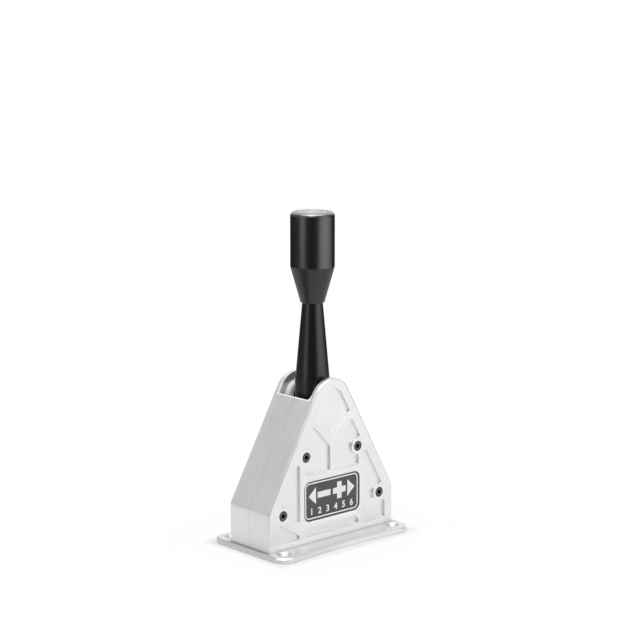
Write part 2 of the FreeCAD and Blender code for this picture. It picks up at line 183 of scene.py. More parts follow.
def product(tree, first, *others):
    """Product of sockets or numbers."""
    for other in others:
        first = calc(tree, "MULTIPLY", first, other)
    return first


def largest(tree, first, *others):
    """Largest of sockets or numbers."""
    for other in others:
        first = calc(tree, "MAXIMUM", first, other)
    return first


def vector(tree, operation, *values):
    """Vector math node over one or two sockets or fixed vectors."""
    return put(tree, "VectorMath", dict(enumerate(values)), operation=operation).outputs["Vector"]


def dot(tree, value, along):
    """Dot product of a vector socket with a fixed vector."""
    made = put(tree, "VectorMath", {0: value, 1: along}, operation="DOT_PRODUCT")
    return made.outputs["Value"]


def vector_length(tree, value):
    """Length of a vector socket."""
    return put(tree, "VectorMath", {0: value}, operation="LENGTH").outputs["Value"]


def distance_from_axis(tree, point, across, centre):
    """Distance of a point from an axis through the centre, where across has 1 for both directions that
    are square to the axis."""
    moved = vector(tree, "SUBTRACT", point, centre)
    return vector_length(tree, vector(tree, "MULTIPLY", moved, across))


def fitted(tree, value, low, high, to_low=0.0, to_high=1.0):
    """Smooth step of a value from one range to another."""
    made = put(tree, "MapRange", {
        "Value": value, "From Min": low, "From Max": high, "To Min": to_low, "To Max": to_high,
    }, interpolation_type="SMOOTHSTEP")
    return made.outputs["Result"]


def between(tree, factor, first, second):
    """Colour mix of two colours by a factor."""
    made = put(tree, "Mix", {"Factor": factor}, data_type="RGBA")
    for key, value in (("A", first), ("B", second)):
        socket = next(s for s in made.inputs if s.name == key and s.type == "RGBA")
        if isinstance(value, bpy.types.NodeSocket):
            tree.links.new(value, socket)
        else:
            socket.default_value = (*value, 1)
    return next(s for s in made.outputs if s.type == "RGBA")


def grain(tree, point, stretch, detail=2.0, roughness=0.5):
    """Noise over a point whose axes are stretched; stretch is in cycles per metre, one for all axes or
    one for each."""
    if not isinstance(stretch, tuple):
        stretch = (stretch, stretch, stretch)
    scaled = put(tree, "Mapping", {"Vector": point, "Scale": stretch}).outputs["Vector"]
    made = put(tree, "TexNoise", {
        "Vector": scaled, "Scale": 1.0, "Detail": detail, "Roughness": roughness,
    })
    return made.outputs[0]


def bumped(tree, height, distance, normal=None):
    """Normal from a height in units of the given distance."""
    inputs = {"Height": height, "Distance": distance, "Strength": 1.0}
    if normal is not None:
        inputs["Normal"] = normal
    return put(tree, "Bump", inputs).outputs["Normal"]


def shader(tree, **inputs):
    """Principled surface, wired to the material's output."""
    names = {name.replace("_", " ").title(): value for name, value in inputs.items()}
    surface = put(tree, "BsdfPrincipled", names)
    put(tree, "OutputMaterial", {"Surface": surface.outputs[0]})


def object_point(tree):
    """The surface point in the row's frame."""
    return put(tree, "TexCoord").outputs["Object"]


# Masks


def pocket_lines():
    """Pockets of the front face, each as the lines (x part, z part, offset) that bound it.

    A point (|x|, z) is inside a pocket when x part |x| + z part z + offset is positive for all its lines.
    """
    brace = math.radians(45.5)
    foot = math.radians(30.8)
    kite_tip = 76.5 * mm
    kite_rim = 6.9 * mm
    side_rim = 7.9 * mm
    brace_width = 5.2 * mm
    spine_half = 2.2 * mm
    middle_foot = 52.65 * mm
    low_x = 30.9 * mm
    foot_width = 7 * mm
    outer_x = 52.1 * mm
    pocket_foot = 8.2 * mm
    slot_top = 14.9 * mm
    slot_half = 25.4 * mm
    kite = (-slope_sin, -slope_cos, slope_reach - kite_rim)
    rim = (-slope_sin, -slope_cos, slope_reach - side_rim)

    def above(angle, start):
        return (-math.sin(angle), math.cos(angle), -math.cos(angle) * start)

    def below(angle, start):
        return tuple(-part for part in above(angle, start))

    middle_tip = kite_tip - brace_width / math.cos(brace)
    low_start = screw_places[1][1] - math.tan(foot) * screw_places[1][0]
    foot_start = low_start - foot_width / math.cos(foot)
    return [
        [above(brace, kite_tip), kite],
        [below(brace, middle_tip), rim, (1, 0, -spine_half), (0, 1, -middle_foot)],
        [above(foot, low_start), rim, (1, 0, -low_x)],
        [below(foot, foot_start), (1, 0, -low_x), (-1, 0, outer_x), (0, 1, -pocket_foot)],
        [(0, 1, -pocket_foot), (0, -1, slot_top), (-1, 0, slot_half)],
    ]


def distance_from_wall(tree, point):
    """Distance from a point of a pocket floor to its nearest wall: the largest, over the pockets, of
    the least distance to their lines."""
    folded = vector(tree, "ABSOLUTE", point)
    deepest = None
    for lines in pocket_lines():
        nearest = None
        for x_part, z_part, offset in lines:
            scale = math.hypot(x_part, z_part)
            along = (x_part / scale, 0, z_part / scale)
            far = calc(tree, "ADD", dot(tree, folded, along), offset / scale)
            nearest = far if nearest is None else calc(tree, "MINIMUM", nearest, far)
        deepest = nearest if deepest is None else largest(tree, deepest, nearest)
    return deepest


def inside_mouth(tree, point):
    """How far the mouth's inner faces are painted pale and scattering, a painted light: between the ears,
    above the spring room and deeper than the slope's skin, less near the arch's top, where the painted
    light fades, and fully at the broken edge of the lip as a painted highlight."""
    skin = 0.08 * mm
    skin_blend = 0.04 * mm
    room_top = 60 * mm
    room_blend = 5 * mm
    arch_from = 110 * mm
    arch_to = 113.5 * mm
    deep_share = 0.65
    arch_share = 0.16
    lip_width = 0.5 * mm
    lip_depth = 0.45 * mm
    folded = vector(tree, "ABSOLUTE", point)
    height = dot(tree, point, (0, 0, 1))
    depth = calc(tree, "SUBTRACT", slope_reach, dot(tree, folded, (slope_sin, 0, slope_cos)))
    between_ears = fitted(tree, dot(tree, folded, (0, 1, 0)), ear_y + 0.3 * mm, ear_y + 0.1 * mm)
    deep = fitted(tree, depth, skin - skin_blend, skin + skin_blend)
    share = fitted(tree, height, arch_to, arch_from, arch_share, deep_share)
    lip_x = mouth_half + lip_width
    lip = product(
        tree, fitted(tree, dot(tree, folded, (1, 0, 0)), lip_x + 0.1 * mm, lip_x - 0.1 * mm),
        fitted(tree, depth, lip_depth + 0.05 * mm, lip_depth - 0.05 * mm),
    )
    above_room = fitted(tree, height, room_top, room_top + room_blend)
    return product(tree, largest(tree, product(tree, deep, share), lip), between_ears, above_room)


def on_boss(tree, point):
    """1 on the bosses round the axle, inside the mouth, 0 elsewhere."""
    reach = distance_from_axis(tree, point, (1, 0, 1), (0, 0, pivot_z))
    inside_rim = fitted(tree, reach, boss_radius + 0.3 * mm, boss_radius + 0.1 * mm)
    folded = vector(tree, "ABSOLUTE", point)
    between_ears = fitted(tree, dot(tree, folded, (0, 1, 0)), ear_y, ear_y - 0.2 * mm)
    return product(tree, inside_rim, between_ears)


def painted_plate_shade(tree, point):
    """Painted shade on the plate: how much darker it is drawn, most on its top beside the housing's ends,
    fading off along its long sides, and some along the lowest edge and in the countersinks, where shade
    falls."""
    end_share = 0.75
    side_share = 0.38
    rim_share = 0.05
    low_share = 0.4
    hole_share = 0.3
    side_width = 5 * mm
    low_height = 0.55 * mm
    sink_radius = 5.2 * mm
    folded = vector(tree, "ABSOLUTE", point)
    height = dot(tree, point, (0, 0, 1))
    past = vector(tree, "SUBTRACT", folded, (half_width, -face_y, 0))
    past_end = dot(tree, past, (1, 0, 0))
    past_side = dot(tree, past, (0, 1, 0))
    on_top = fitted(tree, height, plate_top - 0.3 * mm, plate_top - 0.1 * mm)
    beyond = fitted(tree, past_end, -0.2 * mm, 0.1 * mm)
    beside_end = product(tree, beyond, fitted(tree, past_side, 3 * mm, -1 * mm), end_share)
    along_side = fitted(tree, past_side, side_width, 0, rim_share, side_share)
    top = product(tree, on_top, largest(tree, beside_end, along_side))
    low = fitted(tree, height, low_height + 0.15 * mm, low_height - 0.15 * mm, 0, low_share)
    from_hole = distance_from_axis(tree, folded, (1, 1, 0), plate_hole)
    sunk = fitted(tree, from_hole, sink_radius + 0.1 * mm, sink_radius - 0.1 * mm, 0, hole_share)
    return largest(tree, top, low, sunk)


# Finishes


def machined(tree, point, pale, dull, spread, cut):
    """Colour, roughness and normal of machined aluminium: cutter streaks round the outline and a fine
    blasted grain."""
    streak = grain(tree, point, (26, 1500, 26), detail=5.0, roughness=0.62)
    cloud = grain(tree, point, 60, detail=3.0)
    fine = grain(tree, point, 5200)
    tone = calc(tree, "ADD", product(tree, streak, 0.7), product(tree, cloud, 0.3))
    colour = between(tree, fitted(tree, tone, 0.3, 0.7), dull, pale)
    roughness = fitted(tree, tone, 0.25, 0.75, *spread)
    normal = bumped(tree, fine, 0.006 * mm, bumped(tree, streak, cut))
    return colour, roughness, normal


def tool_rings(tree, point, normal):
    """Faint steps that the cutter leaves on the pockets' floors, ring within ring from the walls."""
    pitch = 2.1 * mm
    step = 0.013 * mm
    rings = calc(tree, "SINE", product(tree, distance_from_wall(tree, point), 2 * math.pi / pitch))
    on_floor = calc(tree, "GREATER_THAN", dot(tree, point, (0, 1, 0)), pocket_floor_y - 0.05 * mm)
    return bumped(tree, product(tree, rings, on_floor), step, normal)


def housing_aluminium(name, pockets=False):
    """Machined aluminium with tool rings in the pockets. Inside the housing's mouth the inner faces and
    the bosses are painted pale and less metallic, a painted light, and the seam of its halves is a fine
    dark line."""
    seam_half = 0.17 * mm
    seam_share = 0.45
    material, tree = new_tree(name)
    point = object_point(tree)
    colour, roughness, normal = machined(
        tree, point, pale=(0.86, 0.86, 0.86), dull=(0.79, 0.79, 0.795), spread=(0.34, 0.46), cut=0.02 * mm,
    )
    if pockets:
        normal = tool_rings(tree, point, normal)
    # Painted light: the mouth's inner faces and the bosses drawn pale and scattering.
    painted_paleness = largest(tree, inside_mouth(tree, point), on_boss(tree, point))
    colour = between(tree, painted_paleness, colour, (0.94, 0.94, 0.94))
    off_seam = calc(tree, "ABSOLUTE", dot(tree, point, (0, 1, 0)))
    seam = fitted(tree, off_seam, seam_half + 0.05 * mm, seam_half - 0.05 * mm, 0, seam_share)
    colour = between(tree, seam, colour, (0.35, 0.35, 0.35))
    metal = calc(tree, "SUBTRACT", 1.0, painted_paleness)
    shader(tree, base_color=colour, metallic=metal, roughness=roughness, normal=normal)
    return material


def plate_aluminium():
    """The same metal a little darker and smoother, with painted shade where the housing's shadow falls on
    it, along its lowest edge and in its countersinks.
    """
    material, tree = new_tree("machined_plate")
    point = object_point(tree)
    colour, roughness, normal = machined(
        tree, point, pale=(0.81, 0.81, 0.81), dull=(0.75, 0.75, 0.75), spread=(0.30, 0.40), cut=0.01 * mm,
    )
    # Painted shade: the plate drawn darker beside the housing, along its foot and in its countersinks.
    colour = between(tree, painted_plate_shade(tree, point), colour, (0.3, 0.3, 0.3))
    shader(tree, base_color=colour, metallic=1.0, roughness=roughness, normal=normal)
    return material


def black_anodised():
    """Satin black anodised aluminium with very fine turning marks round the lever's axis. The lever and
    the knob's cone are painted darker than the grip as painted shade, and the grip's top and the upper
    part of its round are painted pale as a painted highlight."""
    highlight_from = knob_top - 1.7 * mm
    highlight_to = knob_top - 0.8 * mm
    mark = 0.004 * mm
    material, tree = new_tree("black_anodised")
    point = object_point(tree)
    turning = grain(tree, point, (40, 40, 5000), detail=3.0)
    fine = grain(tree, point, 4200)
    cloud = grain(tree, point, 90, detail=3.0)
    height = dot(tree, point, (0, 0, 1))
    # Painted shade: the lever and the knob's cone drawn darker than the grip.
    grip_black = between(tree, cloud, (0.086, 0.086, 0.088), (0.103, 0.103, 0.105))
    shaded_black = between(tree, cloud, (0.053, 0.053, 0.054), (0.063, 0.063, 0.064))
    on_grip = fitted(tree, height, cone_top - 0.3 * mm, cone_top + 0.3 * mm)
    colour = between(tree, on_grip, shaded_black, grip_black)
    # Painted highlight: the grip's top drawn pale.
    painted_top_highlight = fitted(tree, height, highlight_from, highlight_to)
    colour = between(tree, painted_top_highlight, colour, (0.32, 0.32, 0.325))
    roughness = fitted(tree, turning, 0.25, 0.75, 0.27, 0.33)
    normal = bumped(tree, fine, mark, bumped(tree, turning, mark))
    shader(tree, base_color=colour, metallic=1.0, roughness=roughness, normal=normal)
    return material


def clouded(tree, cloud, colour, dip, roughness):
    """Colour and roughness that vary with a cloud: the colour between its share dip and itself, the
    roughness a little each way."""
    sway = 0.05
    shade = between(tree, cloud, tuple(dip * part for part in colour), colour)
    return shade, fitted(tree, cloud, 0.3, 0.7, roughness - sway, roughness + sway)


def turned_metal(name, colour, roughness, across=(1, 1, 0), centre=(0, 0, 0)):
    """Metal turned about an axis: fine rings by the distance from it."""
    pitch = 0.35 * mm
    material, tree = new_tree(name)
    point = object_point(tree)
    reach = distance_from_axis(tree, point, across, centre)
    rings = calc(tree, "SINE", product(tree, reach, 2 * math.pi / pitch))
    cloud = grain(tree, point, 300, detail=4.0)
    shade, spread = clouded(tree, cloud, colour, 0.88, roughness)
    normal = bumped(tree, rings, 0.003 * mm)
    shader(tree, base_color=shade, metallic=1.0, roughness=spread, normal=normal)
    return material


def plain_finish(name, colour, roughness, metallic=0.0, depth=0.01 * mm):
    """Moulded, cast or drawn surface: a slightly clouded colour and a fine grain."""
    grain_size = 0.3 * mm
    material, tree = new_tree(name)
    point = object_point(tree)
    fine = grain(tree, point, 1 / grain_size, detail=3.0)
    cloud = grain(tree, point, 150)
    shade, spread = clouded(tree, cloud, colour, 0.8, roughness)
    normal = bumped(tree, fine, depth)
    shader(tree, base_color=shade, metallic=metallic, roughness=spread, normal=normal)
    return material


def badge_enamel():
    """Dark enamel with a white line round it, drawn by the distance to the badge's rounded edge."""
    line_inset = 1.6 * mm
    line_half = 0.46 * mm
    line_blend = 0.04 * mm
    material, tree = new_tree("badge_enamel")
    point = object_point(tree)
    folded = vector(tree, "ABSOLUTE", vector(tree, "SUBTRACT", point, (0, 0, badge_z)))
    core = (badge_half[0] - badge_corner, 0, badge_half[1] - badge_corner)
    past = vector(tree, "SUBTRACT", folded, core)
    x_past = dot(tree, past, (1, 0, 0))
    z_past = dot(tree, past, (0, 0, 1))
    outside = put(tree, "CombineXYZ", {
        "X": largest(tree, x_past, 0), "Z": largest(tree, z_past, 0),
    }).outputs["Vector"]
    inner = calc(tree, "MINIMUM", largest(tree, x_past, z_past), 0)
    reach = calc(tree, "ADD", vector_length(tree, outside), inner)
    inset = calc(tree, "SUBTRACT", badge_corner, reach)
    off_line = calc(tree, "ABSOLUTE", calc(tree, "SUBTRACT", inset, line_inset))
    line = fitted(tree, off_line, line_half + line_blend, line_half - line_blend)
    on_face = calc(tree, "LESS_THAN", dot(tree, point, (0, 1, 0)), badge_front + 0.05 * mm)
    cloud = grain(tree, point, 400, detail=3.0)
    dark = between(tree, cloud, (0.056, 0.056, 0.057), (0.070, 0.070, 0.071))
    colour = between(tree, product(tree, line, on_face), dark, (0.93, 0.93, 0.93))
    roughness = fitted(tree, cloud, 0.3, 0.7, 0.42, 0.50)
    normal = bumped(tree, grain(tree, point, 3000), 0.003 * mm)
    shader(tree, base_color=colour, roughness=roughness, normal=normal)
    return material


def screw_black():
    """Black oxide with a brown cast on the flat of the head and a socket painted near black as painted
    shade
    in its recess: the bands follow the radius stored on the mesh."""
    socket_edge = 1.85 * mm
    rim_edge = 3 * mm
    material, tree = new_tree("black_oxide_steel")
    point = object_point(tree)
    reach = put(tree, "Attribute", attribute_name="reach").outputs["Fac"]
    cloud = grain(tree, point, 900, detail=3.0)
    worn = calc(tree, "ADD", reach, product(tree, cloud, 0.3 * mm))
    past_socket = fitted(tree, worn, socket_edge - 0.1 * mm, socket_edge + 0.1 * mm)
    past_rim = fitted(tree, worn, rim_edge - 0.15 * mm, rim_edge + 0.15 * mm)
    # Painted shade: the socket drawn near black inside its edge.
    inner = between(tree, past_socket, (0.012, 0.011, 0.011), (0.17, 0.145, 0.14))
    colour = between(tree, past_rim, inner, (0.045, 0.042, 0.042))
    roughness = fitted(tree, cloud, 0.3, 0.7, 0.38, 0.5)
    normal = bumped(tree, cloud, 0.01 * mm)
    shader(tree, base_color=colour, metallic=1.0, roughness=roughness, normal=normal)
    return material


# Mesh helpers


def finish_piece(piece, body, material, *nodes, slot):
    """Gives a piece its finish, lets it ride and hides the solids that it stands for. The slot is not
    used.
    """
    piece.data.materials.clear()
    piece.data.materials.append(material)
    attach(piece, body)
    if nodes:
        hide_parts(*nodes)


def new_piece(name, mesh):
    """Object at the origin that holds a mesh."""
    piece = bpy.data.objects.new(name, mesh)
    bpy.context.scene.collection.objects.link(piece)
    return piece


def new_mesh(name, points, faces):
    """Mesh from an array of points and lists of corners."""
    mesh = bpy.data.meshes.new(name)
    mesh.from_pydata(points.tolist(), [], faces)
    mesh.update()
    return mesh


def points_of(mesh):
    """A mesh's points as an array."""
    points = np.zeros(len(mesh.vertices) * 3)
    mesh.vertices.foreach_get("co", points)
    return points.reshape(-1, 3)


def smooth_by_angle(mesh, degrees=crease_degrees):
    """Smooth shading, with creases where faces meet at more than the angle."""
    mesh.shade_smooth()
    mesh.set_sharp_from_angle(angle=math.radians(degrees))


def face_outwards(mesh):
    """Turns the faces of a closed mesh outwards."""
    form = bmesh.new()
    form.from_mesh(mesh)
    bmesh.ops.recalc_face_normals(form, faces=form.faces)
    form.to_mesh(mesh)
    form.free()


def band_faces(rows, columns, closed=False):
    """Faces of a grid of points whose columns run round to the first again, and with closed its rows
    too."""
    place = np.arange(rows * columns).reshape(rows, columns)
    below = np.roll(place, -1, axis=0)
    quads = np.stack([place, np.roll(place, -1, axis=1), np.roll(below, -1, axis=1), below], axis=-1)
    return quads[:rows if closed else rows - 1].reshape(-1, 4)


def rounded_profile(corners, radii, steps=8):
    """Polyline with each corner replaced by an arc tangent to both its sides: the arc's centre lies
    on the corner's bisector, and its points turn evenly from one side to the other."""
    points = np.array(corners, float)
    rows = [points[:1]]
    for before, corner, after, radius in zip(points, points[1:], points[2:], radii):
        if radius == 0:
            rows.append(corner[None])
            continue
        back = (before - corner) / np.linalg.norm(before - corner)
        ahead = (after - corner) / np.linalg.norm(after - corner)
        half = np.arccos(np.clip(back @ ahead, -1, 1)) / 2
        middle = (back + ahead) / np.linalg.norm(back + ahead)
        centre = corner + middle * radius / np.sin(half)
        start = corner + back * radius / np.tan(half) - centre
        end = corner + ahead * radius / np.tan(half) - centre
        turn = np.pi - 2 * half
        share = np.linspace(0, 1, steps + 1)[:, None]
        arc = (np.sin((1 - share) * turn) * start + np.sin(share * turn) * end) / np.sin(turn)
        rows.append(centre + arc)
    rows.append(points[-1:])
    return np.concatenate(rows)


def surface_of_revolution(name, profile, segments=turned_facets, hexness=None):
    """Closed surface round the Z axis: x = r cos t, y = r sin t, z = h for each profile point (r, h).

    With hexness, r is blended towards a hexagon's outline, r / cos(t mod 60 - 30).
    The first and last profile points lie on the axis and close the surface as poles.
    """
    profile = np.asarray(profile, float)
    turn = np.arange(segments) * 2 * np.pi / segments
    radius = profile[1:-1, 0][:, None] * np.ones(segments)
    if hexness is not None:
        flat = np.mod(turn, np.pi / 3) - np.pi / 6
        share = np.asarray(hexness, float)[1:-1][:, None]
        radius = radius * (1 - share + share / np.cos(flat))
    rings = np.stack([
        radius * np.cos(turn), radius * np.sin(turn), profile[1:-1, 1][:, None] * np.ones(segments),
    ], axis=-1).reshape(-1, 3)
    poles = np.array([[0, 0, profile[0, 1]], [0, 0, profile[-1, 1]]])
    count = len(profile) - 2
    first = np.arange(segments)
    second = (first + 1) % segments
    low_pole = count * segments
    top = (count - 1) * segments
    fan_low = np.stack([second, first, np.full(segments, low_pole)], axis=-1)
    fan_high = np.stack([top + first, top + second, np.full(segments, low_pole + 1)], axis=-1)
    faces = band_faces(count, segments).tolist() + fan_low.tolist() + fan_high.tolist()
    return new_mesh(name, np.concatenate([rings, poles]), faces)


# Housing


def machined_copy(name, node, edge):
    """The solid's own mesh with its triangles joined into faces, and its sharp edges broken by a small
    round."""
    weld = 0.002 * mm
    flatness = math.radians(0.2)
    form = bmesh.new()
    form.from_mesh(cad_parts[node].data)
    bmesh.ops.remove_doubles(form, verts=form.verts, dist=weld)
    bmesh.ops.dissolve_limit(
        form, angle_limit=flatness, verts=form.verts, edges=form.edges, delimit=set(),
    )
    mesh = bpy.data.meshes.new(name)
    form.to_mesh(mesh)
    form.free()
    smooth_by_angle(mesh)
    piece = new_piece(name, mesh)
    bevel = piece.modifiers.new("edge", "BEVEL")
    bevel.width = edge
    bevel.segments = 2
    bevel.limit_method = "ANGLE"
    bevel.angle_limit = math.radians(crease_degrees)
    bevel.use_clamp_overlap = False
    bevel.harden_normals = True
    return piece


def boss_collars():
    """Collars on both bosses, up to the lever: a closed outline (r, h) carried round the axle, so that
    x = r cos t, z = r sin t and y = h at the rear, -h in front."""
    bore = 6.4 * mm
    bore_round = 0.2 * mm
    thickness = 0.2 * mm
    skin = boss_radius + 0.05 * mm
    seat = boss_face_y + 0.1 * mm
    wall = ear_y + 0.05 * mm
    outline = rounded_profile(
        [(bore, seat), (bore, collar_end), (skin, collar_end), (skin, wall),
         (skin - thickness, wall), (skin - thickness, seat)],
        [bore_round, collar_round, 0, 0],
    )
    turn = np.linspace(0, 2 * np.pi, turned_facets, endpoint=False)
    radius = outline[:, 0][:, None]
    depth = outline[:, 1][:, None] * np.ones(turned_facets)
    points = np.concatenate([
        np.stack([radius * np.cos(turn), side * depth, pivot_z + radius * np.sin(turn)], axis=-1)
        for side in (-1, 1)
    ]).reshape(-1, 3)
    quads = band_faces(len(outline), turned_facets, closed=True)
    faces = np.concatenate([quads, quads[:, ::-1] + len(points) // 2])
    mesh = new_mesh("boss_collars", points, faces.tolist())
    face_outwards(mesh)
    smooth_by_angle(mesh)
    return new_piece("boss_collars", mesh)


def screw_surfaces():
    """Four socket cap screws: a turned head with a broken rim and a hexagonal socket, and its shank.

    The rim's rows are millimetres in and down from the head's edge. The socket's rows are shares of its
    width, millimetres down and how far the hexagon is formed.
    """
    facets = 72
    head_top = -face_y - 0.1 * mm
    seat = head_top - 4 * mm
    end = seat - 30 * mm
    head = 3.5 * mm
    shank = 2 * mm
    tip = 0.4 * mm
    bevel = 0.1 * mm
    across = 1.5 * mm
    rim = [(0, 0.35), (0.08, 0.15), (0.3, 0)]
    socket = [(1.16, 0, 0), (1.04, 0.08, 0.7), (1, 0.15, 1), (1, 2, 1), (0.4, 2.4, 1), (0, 2.5, 0)]
    rows = [(0, end, 0), (shank - tip, end, 0), (shank, end + tip, 0), (shank, seat, 0)]
    rows += [(head - bevel, seat, 0), (head, seat + bevel, 0)]
    rows += [(head - inward * mm, head_top - down * mm, 0) for inward, down in rim]
    rows += [(across * share, head_top - down * mm, six) for share, down, six in socket]
    profile = [(radius, height) for radius, height, _ in rows]
    one = surface_of_revolution("screw", profile, facets, [six for _, _, six in rows])
    points = points_of(one)
    laid = np.stack([points[:, 0], -points[:, 2], points[:, 1]], axis=-1)
    placed = np.concatenate([laid + (x, 0, z) for x, z in screw_places])
    corners = [tuple(face.vertices) for face in one.polygons]
    starts = [copy * len(points) for copy in range(len(screw_places))]
    faces = [tuple(v + start for v in face) for start in starts for face in corners]
    mesh = new_mesh("cap_screws", placed, faces)
    reach = np.tile(np.hypot(points[:, 0], points[:, 1]), len(screw_places))
    mesh.attributes.new("reach", "FLOAT", "POINT").data.foreach_set("value", reach.astype(np.float32))
    smooth_by_angle(mesh)
    return new_piece("cap_screws", mesh)


# Knob


def knob_surface():
    """Turned grip: a cone with a softened lower edge, a cylinder, a 3 mm round at the top and the
    seat of the disc."""
    foot = 8.5 * mm
    seat = 10.65 * mm
    corners = [
        (0, shaft_top), (foot, shaft_top), (knob_radius, cone_top), (knob_radius, knob_top),
        (seat, knob_top), (seat, disc_seat), (0, disc_seat),
    ]
    rounds = [0.9 * mm, 2.5 * mm, 3 * mm, 0.15 * mm, 0]
    mesh = surface_of_revolution("knob_grip", rounded_profile(corners, rounds, steps=12))
    smooth_by_angle(mesh)
    return new_piece("knob_grip", mesh)


def disc_surface():
    """Disc with a fine round at its rim and a groove turned into its face."""
    rim = 10.4 * mm
    groove_middle = 7.05 * mm
    groove_half = 0.45 * mm
    floor_half = 0.25 * mm
    floor = knob_top - 0.5 * mm
    corners = [
        (0, disc_seat), (rim, disc_seat), (rim, knob_top),
        (groove_middle + groove_half, knob_top), (groove_middle + floor_half, floor),
        (groove_middle - floor_half, floor), (groove_middle - groove_half, knob_top), (0, knob_top),
    ]
    rounds = [0, 0.25 * mm] + [0.1 * mm] * 4
    mesh = surface_of_revolution("knob_disc", rounded_profile(corners, rounds, steps=6))
    smooth_by_angle(mesh)
    return new_piece("knob_disc", mesh)


# Badge


def rounded_rectangle(half_x, half_z, corner, steps=12):
    """Outline of a rounded rectangle, counter-clockwise, with its outward normals."""
    angle = np.concatenate([np.linspace(q, q + np.pi / 2, steps + 1) for q in np.arange(4) * np.pi / 2])
    sign_x = np.repeat([1, -1, -1, 1], steps + 1)
    sign_z = np.repeat([1, 1, -1, -1], steps + 1)
    normal = np.stack([np.cos(angle), np.sin(angle)], axis=-1)
    centre = np.stack([sign_x * (half_x - corner), sign_z * (half_z - corner)], axis=-1)
    return centre + corner * normal, normal


def badge_surface():
    """Plate whose outline is carried through a profile of (inset, y): point = outline - inset normal,
    with both faces closed."""
    flat_from = 3 * mm
    front_round = 0.3 * mm
    back_round = 0.1 * mm
    facet_crease = 40
    outline, normal = rounded_rectangle(*badge_half, badge_corner)
    profile = rounded_profile(
        [(flat_from, badge_front), (0, badge_front), (0, badge_back), (flat_from, badge_back)],
        [front_round, back_round], steps=5,
    )
    flat = outline[None] - profile[:, None, :1] * normal[None]
    depth = profile[:, 1][:, None] * np.ones(len(outline))
    points = np.stack([flat[..., 0], depth, badge_z + flat[..., 1]], axis=-1).reshape(-1, 3)
    count = len(outline)
    front = list(range(count))[::-1]
    back = list(range(len(points) - count, len(points)))
    mesh = new_mesh("badge", points, band_faces(len(profile), count).tolist() + [front, back])
    face_outwards(mesh)
    smooth_by_angle(mesh, facet_crease)
    return new_piece("badge", mesh)


def prisms(name, outlines, back, front):
    """Flat marks on a face that looks along -Y: each outline (x, z) is carried from y = back to
    y = front and closed at both ends."""
    points, faces, start = [], [], 0
    for outline in outlines:
        flat = np.asarray(outline, float)
        count = len(flat)
        for y in (front, back):
            points.append(np.stack([flat[:, 0], np.full(count, y), flat[:, 1]], axis=-1))
        ring = np.arange(count)
        after = (ring + 1) % count
        sides = np.stack([ring, ring + count, after + count, after], axis=-1) + start
        faces += [(ring + start).tolist(), (ring[::-1] + count + start).tolist()] + sides.tolist()
        start += 2 * count
    return new_piece(name, new_mesh(name, np.concatenate(points), faces))


def shift_marks():
    """A minus and a plus between two arrow heads: which way the lever is pushed to change down or up.

    Each outline runs counter-clockwise seen from the front, in millimetres about the badge's centre.
    """
    rise = 3.4
    half = 6.2
    stroke = 2.2
    sign_x = 7.4
    arrow_in, arrow_out = 15.2, 22.2
    dash = [(-half, -stroke), (half, -stroke), (half, stroke), (-half, stroke)]
    cross = [
        (-half, -stroke), (-stroke, -stroke), (-stroke, -half), (stroke, -half), (stroke, -stroke),
        (half, -stroke), (half, stroke), (stroke, stroke), (stroke, half), (-stroke, half),
        (-stroke, stroke), (-half, stroke),
    ]
    head = [(arrow_in, -half), (arrow_out, 0), (arrow_in, half)]
    placed = [
        np.array(dash) - (sign_x, 0), np.array(cross) + (sign_x, 0), np.array(head),
        (np.array(head) * (-1, 1))[::-1],
    ]
    outlines = [(shape + (0, rise)) * mm + (0, badge_z) for shape in placed]
    return prisms("shift_marks", outlines, badge_front + print_sink, badge_front - print_height)


def gear_digits():
    """Row of the figures 1 to 6 under the marks, from Blender's own plain face."""
    figures = "123456"
    height = 6.6 * mm
    pitch = 7.7 * mm
    drop = 10.1 * mm
    thickening = 0.2 * mm
    weld = 0.001 * mm
    out = badge_front - (print_height - print_sink) / 2
    points, faces, start = [], [], 0
    for place, figure in enumerate(figures):
        text = bpy.data.curves.new("figure", "FONT")
        text.body = figure
        text.size = height
        text.align_x = "CENTER"
        text.offset = thickening
        text.extrude = (print_height + print_sink) / 2
        holder = bpy.data.objects.new("figure", text)
        made = bpy.data.meshes.new_from_object(holder)
        flat = points_of(made)
        x = flat[:, 0] + (place - (len(figures) - 1) / 2) * pitch
        z = flat[:, 1] + badge_z - drop
        points.append(np.stack([x, out - flat[:, 2], z], axis=-1))
        faces += [tuple(v + start for v in face.vertices) for face in made.polygons]
        start += len(flat)
        bpy.data.objects.remove(holder)
        bpy.data.meshes.remove(made)
    mesh = new_mesh("gear_digits", np.concatenate(points), faces)
    form = bmesh.new()
    form.from_mesh(mesh)
    bmesh.ops.remove_doubles(form, verts=form.verts, dist=weld)
    form.to_mesh(mesh)
    form.free()
    return new_piece("gear_digits", mesh)


# Return springs


